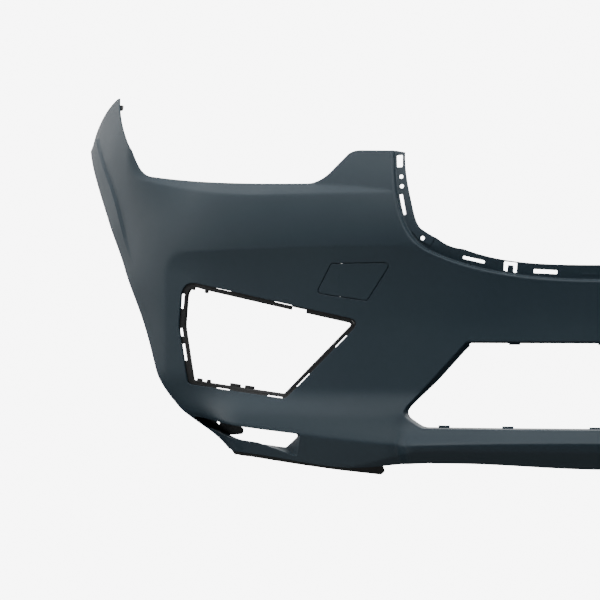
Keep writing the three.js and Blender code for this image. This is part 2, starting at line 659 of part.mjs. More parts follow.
for (const side of [-1, 1]) {
  const hand = side < 0 ? 'right' : 'left';
  addPart(`lamp_trim_frame_${hand}`, lampFrame(side), BLACK);
  addPart(`slot_bracket_${hand}`, slotBracket(side), BLACK);
  addPart(`slot_bracket_screw_${hand}`, bracketScrew(side), STEEL);
  addPart(`corner_deflector_${hand}`, cornerDeflector(side), BLACK);
  RIVETS.forEach((x, i) => addPart(`deflector_rivet_${hand}_${i + 1}`, rivet(x, side), BLACK));
  addPart(`wing_locator_clip_${hand}`, wingClip(side), BLACK);
  ARCH_NUTS.forEach((facet, i) => addPart(`arch_spring_nut_${hand}_${i + 1}`, archNut(facet, side), STEEL));
  TRAY_NUTS.forEach((facet, i) => addPart(`tray_spring_nut_${hand}_${i + 1}`, trayNut(facet, side), STEEL));
}

export default parts;
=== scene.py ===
"""Front bumper cover in primer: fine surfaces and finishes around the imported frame.

Lengths are millimetres until a mesh is made. x is the half-width from the middle of the car, so one
outline serves both sides; side is -1 on the vehicle's right and +1 on its left.
"""
import json
import math

import bmesh
import bpy
import numpy as np
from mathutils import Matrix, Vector
from mathutils.geometry import delaunay_2d_cdt
from mathutils.kdtree import KDTree

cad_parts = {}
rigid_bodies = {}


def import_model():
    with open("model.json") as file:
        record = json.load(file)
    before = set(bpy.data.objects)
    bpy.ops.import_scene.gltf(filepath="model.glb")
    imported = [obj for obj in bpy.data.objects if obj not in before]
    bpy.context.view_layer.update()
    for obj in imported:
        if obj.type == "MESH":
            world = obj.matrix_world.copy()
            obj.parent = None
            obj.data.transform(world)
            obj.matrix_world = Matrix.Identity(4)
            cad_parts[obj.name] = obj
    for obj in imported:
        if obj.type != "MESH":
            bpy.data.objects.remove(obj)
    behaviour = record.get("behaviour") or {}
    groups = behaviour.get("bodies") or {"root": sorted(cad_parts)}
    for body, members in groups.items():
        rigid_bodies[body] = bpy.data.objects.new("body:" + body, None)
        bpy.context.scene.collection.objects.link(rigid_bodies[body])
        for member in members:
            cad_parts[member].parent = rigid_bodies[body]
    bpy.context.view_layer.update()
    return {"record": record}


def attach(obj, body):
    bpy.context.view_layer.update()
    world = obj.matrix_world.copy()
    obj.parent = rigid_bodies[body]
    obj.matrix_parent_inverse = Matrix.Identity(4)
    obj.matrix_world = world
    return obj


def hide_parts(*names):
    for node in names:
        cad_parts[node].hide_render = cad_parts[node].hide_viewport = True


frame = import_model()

MM = 0.001
NOSE = -29                      # Y of the plan curve in the middle of the car
WALL = 3.0                      # wall of the moulding
PLAN = np.array([(0, 0), (560, 0), (840, 224), (940, 548)], float)
ARCH = {"y": NOSE + 925, "z": -347, "radius": 700}
ARCH_FOOT = math.pi - 0.0686    # angle around the wheel where the arch meets the bottom edge
WING_REAR_Z = 240
WING_TOP = (NOSE + 431, 317)
WING_BOW = (NOSE + 497, 296)    # pulls the joint to the fender into a curve
GRILLE_STEP = 12
INTAKE_RETURN = 24
TRAY_FLANGE = 30
TRAY_HALF = 338
PANEL_END = 742.0               # x of the outer end of the recessed panel
EDGE_STEP = 3.0                 # spacing of points along every outline
GRID = 6.0                      # spacing of points inside a sheet
GAP = 0.3                       # between the moulding and a piece that lies against it
FINE_STEP = 2.5                 # spacing of points along the outlines of the small pieces
TOW_STEP = 1.6                  # and of the towing-eye cover
SLOT_DEPTH = 18                 # how far the side slot's wall runs in
BEAD_ROLL, BEAD_FOOT = 4.0, 6.7  # radius and reach of the rolled bead around the grille opening
BRACKET_DEPTH = 18.5            # of the slot bracket's front, behind the face
BRACKET_SCREW = (652, -222, BRACKET_DEPTH)
COVER_WALL = 2.4                # wall of the towing-eye cover
COVER_SEAM = 1.0                # gap around the towing-eye cover
HINGE_CLEAR = 0.35              # between the pin's line and the end of a seam lip
LUG_PLACE = 37                  # of the hinge lugs, along the pin from its middle
RIVETS = (402, 438, 474)        # x of the deflector's rivets
DEFLECTOR_WALL = 2.5
CAMERA_LENS = 150.12            # for a sensor 36 mm wide
CAMERA_TURN = math.radians(6.8825)
CAMERA_PLACE = (0, NOSE - 4000, -45)
FLOOR = -0.3365                 # Z of the floor, in metres
PALE = 7.8                      # glow of the floor and backdrop
WORLD_LIGHT = 0.004


# ---- camera, at the height of the lamp openings and turned a little to the right-hand side ----
def make_camera():
    data = bpy.data.cameras.new("camera")
    data.sensor_width = 36
    data.lens = CAMERA_LENS
    data.clip_end = 100
    camera = bpy.data.objects.new("camera", data)
    camera.location = [value * MM for value in CAMERA_PLACE]
    camera.rotation_euler = (math.pi / 2, 0, CAMERA_TURN)
    bpy.context.scene.collection.objects.link(camera)
    bpy.context.scene.camera = camera


make_camera()


# ---- shape of the painted face ----
def bend(u, radius):
    """Zero below u = 0 and u above it, with a rounded corner."""
    return 0.5 * (u + np.sqrt(u * u + radius * radius))


def rise(start, end, x):
    """Smooth step from 0 at start to 1 at end; start may be the larger one."""
    u = np.clip((x - start) / (end - start), 0, 1)
    return u * u * (3 - 2 * u)


def ledge_line(x):
    return 131 + 33 * (np.maximum(x - 560, 0) / 240) ** 2


def ledge_height(x):
    u = np.clip((x - 337) / 141, 0, 1)
    return 14 * (1.5 * u - 0.5 * u * u) + 40 * rise(478, 520, x)


def lower_line(x):
    out = np.maximum(x - 313, 0) / 387
    centre = np.minimum(x, 313) / 313
    return -272 - 7 * centre * centre + 42 * out ** 1.35


def shoulder_line(x):
    return (-272.2 + 0.12 * x) * rise(300, 345, x) - 250 * rise(345, 300, x)


def bottom_line(x):
    return -316 + 8 * rise(0, 230, x) - 11 * rise(270, 417, x) + 20 * rise(400, 620, x)


def under_line(x):
    return np.maximum(-287 - 32 * rise(270, 430, x), bottom_line(x) + 2)


def panel_top(x):
    return 43 - 6 * rise(400, 760, x)


def panel_recess(x, z):
    """The recessed panel around a lamp opening, with a rounded corner at the wing."""
    radius = 38
    sideways = radius - (PANEL_END - x)
    upwards = radius - (panel_top(x) - z)
    corner = np.hypot(np.maximum(sideways, 0), np.maximum(upwards, 0))
    inside = radius - corner - np.minimum(np.maximum(sideways, upwards), 0)
    return -11 * (1 - np.exp(-bend(inside, 2) / 45)) * rise(-238, -190, z)


def arch_front(z, out=0):
    """The wheel-arch edge, or a line out from it, as y."""
    return ARCH["y"] - np.sqrt((ARCH["radius"] + out) ** 2 - (z - ARCH["z"]) ** 2)


def flare_width(z):
    return 24 + 20 * rise(20, 170, z)


def arch_flare(y, z):
    """Raised band along the upper part of the wheel arch; its top end slants."""
    out = np.hypot(y - ARCH["y"], z - ARCH["z"]) - ARCH["radius"]
    width = flare_width(z)
    end = 231 + 0.45 * out
    return 4.5 * rise(width + 2, width - 2, out) * rise(end + 2, end - 2, z) * rise(10, 90, z)


def face_offset(x, y, z):
    """How far the face stands in front of the plan curve."""
    front = rise(760, 600, x)
    strip = rise(330, 300, x)
    brow = -(bend(z - 45, 16) ** 2) / 540 * rise(830, 700, x)
    wing_top = -(bend(z - 190, 30) ** 2) / 660 * rise(700, 830, x)
    ledge = bend(z - ledge_line(x), 2) - bend(z - ledge_line(x) - ledge_height(x), 2)
    ledge = ledge * rise(830, 760, x) * rise(337, 345, x)
    belly = -0.09 * bend(45 - z, 20) + 0.13 * bend(-82 - z, 25)
    shoulder = (0.32 + 0.8 * strip) * bend(shoulder_line(x) - z, 12)
    lower = (front * (0.36 + 0.8 * strip) + 0.35) * bend(lower_line(x) - z, 2.5)
    under = 0.8 * bend(under_line(x) - z, 2.5) * rise(440, 400, x)
    tuck = 0.044 * bend(-170 - z, 12) ** 1.5 * rise(590, 700, x)
    haunch = 4 * np.exp(-((z + 5) / 60) ** 2) * rise(700, 830, x)
    raised = brow + wing_top + haunch + panel_recess(x, z) + front * (belly + shoulder) + arch_flare(y, z)
    return raised - ledge - lower - under - tuck


def plan_table():
    """The plan curve against its own length: length, x, y and the unit tangent."""
    t = np.linspace(0, 1.08, 4000)[:, None]
    u = 1 - t
    point = u ** 3 * PLAN[0] + 3 * u * u * t * PLAN[1] + 3 * u * t * t * PLAN[2] + t ** 3 * PLAN[3]
    slope = u * u * (PLAN[1] - PLAN[0]) + 2 * u * t * (PLAN[2] - PLAN[1]) + t * t * (PLAN[3] - PLAN[2])
    slope /= np.linalg.norm(slope, axis=1)[:, None]
    length = np.concatenate([[0], np.cumsum(np.linalg.norm(np.diff(point, axis=0), axis=1))])
    return length, point, slope


LENGTH, POINT, SLOPE = plan_table()


def face(s, z, depth, side):
    """Points depth behind the face, at length s along the plan curve and height z."""
    s, z = np.broadcast_arrays(np.asarray(s, float), np.asarray(z, float))
    px, py = (np.interp(s, LENGTH, POINT[:, i]) for i in (0, 1))
    tx, ty = (np.interp(s, LENGTH, SLOPE[:, i]) for i in (0, 1))
    out = face_offset(px, py + NOSE, z) - depth
    return np.stack([side * (px + ty * out), NOSE + py - tx * out, z], -1)


def along(measure, value, shape):
    """Length along the plan curve where a growing measure reaches the value, for whole arrays."""
    low = np.zeros(shape)
    high = np.full(shape, LENGTH[-1])
    for _ in range(34):
        middle = (low + high) / 2
        below = measure(middle) < value
        low = np.where(below, middle, low)
        high = np.where(below, high, middle)
    return (low + high) / 2


def at_x(x, z, depth=0):
    x, z = np.broadcast_arrays(np.asarray(x, float), np.asarray(z, float))
    return along(lambda s: face(s, z, depth, 1)[..., 0], x, x.shape)


def at_y(y, z, depth=0):
    y, z = np.broadcast_arrays(np.asarray(y, float), np.asarray(z, float))
    return along(lambda s: face(s, z, depth, 1)[..., 1], y, y.shape)


# ---- outlines, as arrays of (x, z) in front view ----
def bezier(*points, count=60):
    t = np.linspace(0, 1, count)[:, None]
    p = np.array(points, float)
    if len(p) == 3:
        return (1 - t) ** 2 * p[0] + 2 * t * (1 - t) * p[1] + t * t * p[2]
    return (1 - t) ** 3 * p[0] + 3 * t * (1 - t) ** 2 * p[1] + 3 * t * t * (1 - t) * p[2] + t ** 3 * p[3]


def line(*points):
    return np.array(points, float)


def rounded(corners, closed=True):
    """Polygon with corners (x, z, radius) rounded off."""
    points = np.array([corner[:2] for corner in corners], float)
    pieces = []
    for i, corner in enumerate(corners):
        if not closed and i in (0, len(corners) - 1):
            pieces.append(points[i:i + 1])
            continue
        back = points[i - 1] - points[i]
        ahead = points[(i + 1) % len(points)] - points[i]
        back_length, ahead_length = np.linalg.norm(back), np.linalg.norm(ahead)
        half = math.acos(np.clip(back @ ahead / back_length / ahead_length, -1, 1)) / 2
        cut = min(corner[2] / math.tan(half), 0.45 * back_length, 0.45 * ahead_length)
        start = points[i] + back / back_length * cut
        end = points[i] + ahead / ahead_length * cut
        pieces.append(bezier(start, points[i], end, count=7))
    return np.concatenate(pieces)


def resample(points, step=EDGE_STEP, closed=False):
    """Even spacing along a polyline, keeping its ends."""
    if closed:
        points = np.concatenate([points, points[:1]])
    keep = np.concatenate([[True], np.linalg.norm(np.diff(points, axis=0), axis=1) > 1e-6])
    points = points[keep]
    length = np.concatenate([[0], np.cumsum(np.linalg.norm(np.diff(points, axis=0), axis=1))])
    count = max(int(round(length[-1] / step)), 2)
    even = np.linspace(0, length[-1], count + 1)
    result = np.stack([np.interp(even, length, points[:, i]) for i in (0, 1)], -1)
    return result[:-1] if closed else result


def normals(points, closed):
    """Unit normals to the left of the way along a polyline: away from the material on every outline."""
    if closed:
        ahead = np.roll(points, -1, 0) - np.roll(points, 1, 0)
    else:
        ahead = np.gradient(points, axis=0)
    ahead = ahead / np.linalg.norm(ahead, axis=1)[:, None]
    return np.stack([-ahead[:, 1], ahead[:, 0]], -1)


LAMP = [(711, -11, 27), (390, -79, 12), (520, -208, 12), (701, -188, 9), (718, -90, 60)]
TOW = [(440, 15, 6), (338, 16, 8), (380, -47, 8), (467, -34, 7)]
SLOT = [(699, -243, 4), (491, -265, 4), (498, -302, 4), (566, -281, 25), (634, -272, 18), (672, -262, 10)]
INTAKE = [(0, -252, 0), (290, -252, 30), (325, -230, 22), (216, -112.5, 8), (0, -112.5, 0)]

BEAD = np.concatenate([
    bezier((0, -17.5), (140, -17.5), (225, 3), (284, 33)),
    bezier((284, 33), (334, 59), (339, 130), (343.5, 200))[1:],
])
PILLAR = np.concatenate([
    line((343.5, 200), (396, 202)),
    bezier((396, 202), (407, 202), (415, 197), count=10)[1:],
    bezier((440, 171.5), (460, 149), (484, 148.2), count=24),
])
LEDGE = bezier((484, 148.2), (610, 150), (700, 157), (779, 169.5))
LAMP_SIDE = np.concatenate([
    bezier((779, 169.5), (800, 174), (808, 192), (820, 218)),
    line((820, 218), (861, WING_TOP[1]))[1:],
])


def to_face(points, depth=0):
    """Front-view points as (length along the plan curve, z)."""
    return np.stack([at_x(points[:, 0], points[:, 1], depth), points[:, 1]], -1)


def drawn(corners, step=EDGE_STEP, depth=0):
    """Closed outline on the face, as (s, z), from corners (x, z, radius)."""
    return to_face(resample(rounded(corners), step, closed=True), depth)


def wing_edge():
    """From the top of the wing down its joint to the fender, as (s, z)."""
    path = resample(bezier(WING_TOP, WING_BOW, (arch_front(WING_REAR_Z), WING_REAR_Z)))
    return np.stack([at_y(path[:, 0], path[:, 1]), path[:, 1]], -1)


def arch_edge():
    """The wheel-arch edge from the wing down to the foot, as (y, z)."""
    top = math.pi - math.asin((WING_REAR_Z - ARCH["z"]) / ARCH["radius"])
    angle = np.linspace(top, ARCH_FOOT, 220)
    y = ARCH["y"] + ARCH["radius"] * np.cos(angle)
    z = ARCH["z"] + ARCH["radius"] * np.sin(angle)
    return np.stack([y, z], -1)


# ---- meshes ----
def ring_faces(rows, count, capped=True):
    """Quads between closed rings of points, and a cap on each end."""
    faces = [(k * count + i, k * count + (i + 1) % count, (k + 1) * count + (i + 1) % count,
              (k + 1) * count + i) for k in range(rows - 1) for i in range(count)]
    if capped:
        faces += [tuple(range(count))[::-1], tuple(range((rows - 1) * count, rows * count))]
    return faces


class Shell:
    """Collects vertices (mm) and faces of one piece."""

    def __init__(self):
        self.vertices = []
        self.faces = []
        self.count = 0

    def add(self, vertices, faces):
        vertices = np.asarray(vertices, float).reshape(-1, 3)
        self.faces += [tuple(self.count + i for i in corners) for corners in faces]
        self.vertices.append(vertices)
        self.count += len(vertices)

    def grid(self, rows, closed=False, flip=False):
        """Quads over rows of points; closed joins the last column to the first."""
        rows = np.asarray(rows)
        count, width = rows.shape[:2]
        column = np.arange(width if closed else width - 1)
        beside = (column + 1) % width
        quads = [np.stack([r * width + column, r * width + beside, (r + 1) * width + beside,
                           (r + 1) * width + column], -1) for r in range(count - 1)]
        quads = np.concatenate(quads)
        self.add(rows, (quads[:, ::-1] if flip else quads).tolist())

    def add_solid(self, vertices, faces):
        """Adds a closed body with its faces turned outward."""
        corners = np.asarray(vertices, float).reshape(-1, 3)
        middle = corners - corners.mean(0)
        volume = sum(middle[f[0]] @ np.cross(middle[f[i]], middle[f[i + 1]])
                     for f in faces for i in range(1, len(f) - 1))
        self.add(corners, faces if volume > 0 else [f[::-1] for f in faces])

    def sweep(self, place, points, out, section):
        """Closed bar along an open path; section holds its corners as (out, depth)."""
        rows = np.stack([place(points + out * a, b) for a, b in section], 1)
        self.add_solid(rows, ring_faces(*rows.shape[:2]))

    def object(self, name, material, slot, replaces, body="bumper"):
        mesh = bpy.data.meshes.new(name)
        mesh.from_pydata((np.concatenate(self.vertices) * MM).tolist(), [], self.faces)
        tidy = bmesh.new()
        tidy.from_mesh(mesh)
        bmesh.ops.remove_doubles(tidy, verts=tidy.verts, dist=0.00003)
        bmesh.ops.dissolve_degenerate(tidy, edges=tidy.edges, dist=0.00001)
        tidy.to_mesh(mesh)
        tidy.free()
        mesh.shade_smooth()
        mesh.set_sharp_from_angle(angle=math.radians(35))
        mesh.materials.append(material)
        piece = bpy.data.objects.new(name, mesh)
        bpy.context.scene.collection.objects.link(piece)
        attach(piece, body)
        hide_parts(*replaces)

    def handed_object(self, name, node, side, material, slot):
        """The piece of one side, which stands for the CAD node of that side."""
        hand = "right" if side < 0 else "left"
        self.object(f"{name}_{hand}", material, slot=slot, replaces=[f"{node}_{hand}"])


def inside(points, loop):
    """Even-odd test of many points against one closed loop."""
    x, y = points[:, 0], points[:, 1]
    odd = np.zeros(len(points), bool)
    for (x0, y0), (x1, y1) in zip(loop, np.roll(loop, -1, 0)):
        if y0 != y1:
            crosses = (y0 > y) != (y1 > y)
            odd ^= crosses & (x < (x1 - x0) * (y - y0) / (y1 - y0) + x0)
    return odd


def near(points, others, distance):
    """True where a point lies closer than distance to any of the others."""
    tree = KDTree(len(others))
    for i, (u, v) in enumerate(others):
        tree.insert((u, v, 0), i)
    tree.balance()
    return np.array([tree.find((u, v, 0))[2] < distance for u, v in points], bool)


def triangulate(loops, guides=(), spacing=GRID):
    """Triangles of a sheet: loops are its outline and its holes, guides are extra lines of points."""
    outline, *holes = loops

    def within(points):
        keep = inside(points, outline)
        for hole in holes:
            keep &= ~inside(points, hole)
        return keep

    low, high = outline.min(0), outline.max(0)
    us = np.arange(low[0] + spacing / 2, high[0], spacing)
    vs = np.arange(low[1] + spacing / 2, high[1], spacing * 0.866)
    grid = np.concatenate([np.stack([us + (r % 2) * spacing / 2, np.full(len(us), v)], -1)
                           for r, v in enumerate(vs)])
    fixed = np.concatenate(loops)
    if len(guides):
        extra = np.concatenate(guides)
        extra = extra[within(extra)]
        extra = extra[~near(extra, fixed, 2.0)]
        fixed = np.concatenate([fixed, extra])
    grid = grid[within(grid)]
    grid = grid[~near(grid, fixed, spacing * 0.5)]
    points = np.concatenate([fixed, grid])
    edges = []
    start = 0
    for loop in loops:
        edges += [(start + i, start + (i + 1) % len(loop)) for i in range(len(loop))]
        start += len(loop)
    found = delaunay_2d_cdt([Vector(p) for p in points.tolist()], edges, [], 0, 1e-6)
    vertices = np.array([tuple(v) for v in found[0]])
    faces = np.array([tuple(f) for f in found[2]])
    return vertices, faces[within(vertices[faces].mean(1))]


def add_sheet(shell, place, loops, depth, side, back=False, guides=(), spacing=GRID):
    """One face of a sheet; place(points, depth) puts 2-D points in space."""
    vertices, faces = triangulate(loops, guides, spacing)
    forward = (side > 0) != back
    shell.add(place(vertices, depth), (faces if forward else faces[:, ::-1]).tolist())


def edge_profile(length=0.0, radius=1.1, wall=WALL, draft=False):
    """Profile of an edge from the front of a sheet to its back, as (out, depth, share of draft).

    With a length, a flange of that depth runs in behind the edge. Every profile has 17 points.
    """
    turn = np.linspace(0, math.pi / 2, 5)
    points = [(radius * (math.sin(a) - 1), radius * (1 - math.cos(a))) for a in turn]
    if not length:
        points += [(0, wall / 2)] * 7
        points += [(radius * (math.cos(a) - 1), wall - radius * (1 - math.sin(a))) for a in turn]
    else:
        points += [(0, length / 2), (0, length - 0.8), (-0.25, length - 0.25), (-0.8, length)]
        points += [(0.8 - wall, length), (0.25 - wall, length - 0.25), (-wall, length - 0.8)]
        points += [(-wall, length / 2), (-wall, wall + 2), (-wall - 0.2, wall + 1.2)]
        points += [(-wall - 0.8, wall + 0.4), (-wall - 2, wall)]
    table = np.array(points)
    share = np.clip((table[:, 1] - wall) / max(length - wall, 1), 0, 1) if draft else 0 * table[:, 0]
    return np.column_stack([table, share])


def add_edge(shell, place, points, out, profile, side, closed=True, draft=0.0):
    """Edge swept along an outline. profile is one profile, or one for each point of the outline."""
    table = np.broadcast_to(profile, (len(points), *np.shape(profile)[-2:]))
    rows = []
    for k in range(table.shape[1]):
        reach = table[:, k, 0] + table[:, k, 2] * draft
        rows.append(place(points + out * reach[:, None], table[:, k, 1]))
    shell.grid(rows, closed=closed, flip=side > 0)


def sheet(shell, place, loops, front, thickness, side, spacing=GRID, guides=()):
    """Closed sheet with rounded edges; its outline runs clockwise and its holes the other way."""
    radius = min(1.1, thickness * 0.42)
    profile = edge_profile(radius=radius, wall=thickness)
    profile[:, 1] += front
    outs = [normals(loop, True) for loop in loops]
    drawn = [loop - out * radius for loop, out in zip(loops, outs)]
    add_sheet(shell, place, drawn, front, side, guides=guides, spacing=spacing)
    add_sheet(shell, place, drawn, front + thickness, side, back=True, spacing=spacing * 2)
    for loop, out in zip(loops, outs):
        add_edge(shell, place, loop, out, profile, side)


def on_face(side):
    return lambda points, depth: face(points[:, 0], points[:, 1], depth, side)


def rounded_block(size, centre, radius=0.5):
    """Vertices and faces of a block with rounded edges, in mm."""
    tool = bmesh.new()
    bmesh.ops.create_cube(tool, size=1)
    bmesh.ops.scale(tool, vec=size, verts=tool.verts)
    bmesh.ops.bevel(tool, geom=tool.edges[:], offset=radius, segments=3, affect="EDGES", profile=0.5)
    bmesh.ops.translate(tool, vec=centre, verts=tool.verts)
    tool.verts.ensure_lookup_table()
    vertices = np.array([tuple(v.co) for v in tool.verts])
    faces = [[v.index for v in f.verts] for f in tool.faces]
    tool.free()
    return vertices, faces


def face_frame(x, z, depth, side):
    """Origin and axes (along the moulding, in from the face, up) of a place on the moulding."""
    s = at_x(x, z, depth)
    origin = face(s, z, depth, side)
    ahead = face(s + 1, z, depth, side) - face(s - 1, z, depth, side)
    ahead[2] = 0
    ahead /= np.linalg.norm(ahead)
    inward = np.array([-side * ahead[1], side * ahead[0], 0])
    return origin, np.array([np.cross(inward, (0, 0, 1)), inward, (0, 0, 1)])


def add_block(shell, size, centre, origin, axes, radius=0.5):
    """Rounded block in a local frame."""
    vertices, faces = rounded_block(size, centre, radius)
    shell.add_solid(origin + vertices @ axes, faces)


def stretch(loop, keep):
    """The kept points of a closed loop as one open path, with their normals."""
    first = np.flatnonzero(keep & ~np.roll(keep, 1))[0]
    count = keep.sum()
    out = normals(loop, True)
    return np.roll(loop, -first, 0)[:count], np.roll(out, -first, 0)[:count]


# ---- the moulded skin ----
def crease_guides():
    """Lines of extra points along the creases of the face, as (s, z)."""
    x = np.linspace(2, 960, 240)
    lines = []
    creases = (
        (ledge_line, 337, 830), (lower_line, 0, 760), (shoulder_line, 345, 760), (under_line, 0, 440),
        (panel_top, 330, 705), (lambda v: ledge_line(v) + ledge_height(v), 340, 486),
    )
    for crease, start, end in creases:
        within = (x > start) & (x < end)
        lines += [np.stack([x, crease(x) + d], -1)[within] for d in (-5, -2.5, -1, 0, 1, 2.5, 5)]
    panel_side = np.linspace(-200, 5, 50)
    lines += [np.stack([np.full(50, PANEL_END + d), panel_side], -1) for d in (-6, -3, 0, 3, 6)]
    height = np.linspace(12, 262, 90)
    flare = []
    for distance in (-4, -2, 0, 2, 4):
        front = arch_front(height, flare_width(height) + distance)
        flare.append(np.stack([at_y(front, height), height], -1))
    return flare + [np.stack([np.interp(g[:, 0], POINT[:, 0], LENGTH), g[:, 1]], -1) for g in lines]


def half_outline():
    """Stretches of the outline of one half of the face, clockwise, as (s, z)."""
    arch = arch_edge()
    foot_s = at_y(arch[-1, 0], arch[-1, 1])
    foot_x = float(face(foot_s, arch[-1, 1], 0, 1)[0])
    arch = np.stack([at_y(arch[:, 0], arch[:, 1]), arch[:, 1]], -1)
    bottom_x = np.linspace(foot_x, 0, 300)
    bottom = np.stack([at_x(bottom_x, bottom_line(bottom_x)), bottom_line(bottom_x)], -1)
    top = np.concatenate([PILLAR, LEDGE[1:], LAMP_SIDE[1:]])
    top = to_face(top)
    wing = wing_edge()
    wing = np.concatenate([top[-1:], wing[wing[:, 0] > top[-1, 0] + 1]])
    return {
        "bead": resample(to_face(BEAD)),
        "top": resample(top),
        "wing": resample(wing),
        "arch": resample(np.concatenate([wing[-1:], arch[1:]])),
        "bottom": resample(np.concatenate([arch[-1:], bottom])),
        "chin": resample(line((0, bottom_line(0.0)), (0, INTAKE[0][1]))),
        "intake": resample(to_face(rounded(INTAKE, closed=False)), 2.5),
        "centre": resample(line((0, INTAKE[-1][1]), (0, BEAD[0][1]))),
    }


def join_stretches(stretches):
    """One closed outline from the stretches, its normals, and the indices of each stretch."""
    outline = np.concatenate([points[:-1] for points in stretches.values()])
    out = normals(outline, True)
    index = {}
    start = 0
    for name, points in stretches.items():
        index[name] = np.arange(start, start + len(points)) % len(outline)
        start += len(points) - 1
    middle = np.abs(outline[:, 0]) < 1e-6
    out[middle] = np.stack([np.zeros(middle.sum()), np.where(out[middle, 1] < 0, -1, 1)], -1)
    for name in ("chin", "centre"):
        out[index[name][1:-1]] = 0
    return outline, out, index


def fade_in(count, run=7):
    """Weights that grow from 0 to 1 over the first points of a stretch."""
    return np.clip(np.arange(count) / run, 0, 1) ** 0.7


def outer_profiles(outline, index):
    """Edge profile for each point of the outer edge: plain, with flanges at the arch and under the nose."""
    plain, wheel, tray = edge_profile(), edge_profile(20), edge_profile(TRAY_FLANGE)
    run = np.concatenate([index["top"], index["wing"][1:], index["arch"][1:], index["bottom"][1:]])
    table = np.repeat(plain[None], len(run), 0)
    arch = np.isin(run, index["arch"])
    weight = np.minimum(fade_in(arch.sum()), fade_in(arch.sum())[::-1])
    table[arch] += weight[:, None, None] * (wheel - plain)
    under = np.isin(run, index["bottom"]) & (outline[run, 0] < TRAY_HALF + 2)
    table[under] += fade_in(under.sum())[:, None, None] * (tray - plain)
    return run, table


def intake_draft(points):
    """How far the return wall of the intake leans in: most on the upper part of its slanted ends."""
    height = points[:, 1]
    slanted = rise(-250, -228, height) * rise(-113, -116, height)
    return 1.5 + rise(-125, -113, height) + slanted * 3.5 * rise(-211, -165, height)


def bead_profiles():
    """Front and back of the rolled bead around the grille opening, as (out, depth, 0)."""
    turn = np.linspace(0, math.pi / 2, 7)
    front = [(BEAD_ROLL * math.sin(a), BEAD_ROLL * (1 - math.cos(a))) for a in turn]
    front += [(BEAD_FOOT - 2.5 * math.cos(a), GRILLE_STEP - 2.5 * (1 - math.sin(a))) for a in turn]
    back = [(BEAD_FOOT, GRILLE_STEP + WALL), (4.0, GRILLE_STEP + WALL), (2.2, GRILLE_STEP + WALL)]
    back += [(1.6, 14.8), (1.3, 14.2), (1.2, 13), (1.2, 10), (1.2, 7), (1.2, 5.6), (1.1, 4.8)]
    back += [(0.9, 4.0), (0.6, 3.5), (0.3, 3.2), (0, WALL)]
    return [np.column_stack([np.array(part), np.zeros(len(part))]) for part in (front, back)]


def add_bead(shell, place, points, side):
    out = normals(points, False)
    out[0] = (0, 1)
    out[-1] = (-1, 0)
    front, back = bead_profiles()
    add_edge(shell, place, points, out, front, side, closed=False)
    add_edge(shell, place, points, out, back, side, closed=False)
    ends = [np.concatenate([place(points[-1:] + out[-1:] * a, b) for a, b, _ in part])
            for part in (front, back[::-1])]
    shell.grid(ends, flip=side < 0)
    return points + out * BEAD_FOOT


GRILLE_EDGE = np.concatenate([
    bezier((0, 11), (100, 11), (160, 14), (222, 37.5)),
    bezier((222, 37.5), (240, 39), (252, 45), (266, 56), count=20)[1:],
    bezier((266, 56), (293, 66), (298, 76), (304, 101), count=24)[1:],
    bezier((304, 101), (312, 135), (320, 165), (320, 197))[1:],
])
# Slots of the grille flange: x, z, width, height and lean in degrees.
GRILLE_SLOTS = [
    (328.5, 182, 10, 20, 2), (321.5, 110, 6, 34, 11), (205, 20, 36, 4.6, -13), (90, 0.5, 38, 6, -3),
]
GRILLE_HOLES = [(325, 156), (323.5, 140), (288, 55)]
GRILLE_CLIP = [(156, 17, 1), (135, 14.5, 1), (136.5, -1.5, 1), (141.5, -0.5, 1), (141, 10.5, 1),
               (150, 11.5, 1), (151, 1, 1), (157, 2.5, 1)]
# Thicker stretch of the flange at the corner of the opening.
FLANGE_PAD = [(305, 64, 2), (297.5, 77, 2), (291, 71, 4), (279, 63, 4), (267, 56, 2), (274.5, 42, 2),
              (291, 50, 4)]


def counter_clockwise(points):
    area = np.sum(points[:, 0] * np.roll(points[:, 1], -1) - np.roll(points[:, 0], -1) * points[:, 1])
    return points if area > 0 else points[::-1]


def slot_loop(x, z, width, height, lean):
    angle = math.radians(lean)
    corners = []
    for i, j in ((1, 1), (-1, 1), (-1, -1), (1, -1)):
        u, v = i * width / 2, j * height / 2
        corners.append((x + u * math.cos(angle) + v * math.sin(angle),
                        z - u * math.sin(angle) + v * math.cos(angle), 1.2))
    return rounded(corners)


def circle(x, z, radius, count=28):
    angle = np.linspace(0, 2 * math.pi, count, endpoint=False)
    return np.stack([x + radius * np.cos(angle), z + radius * np.sin(angle)], -1)


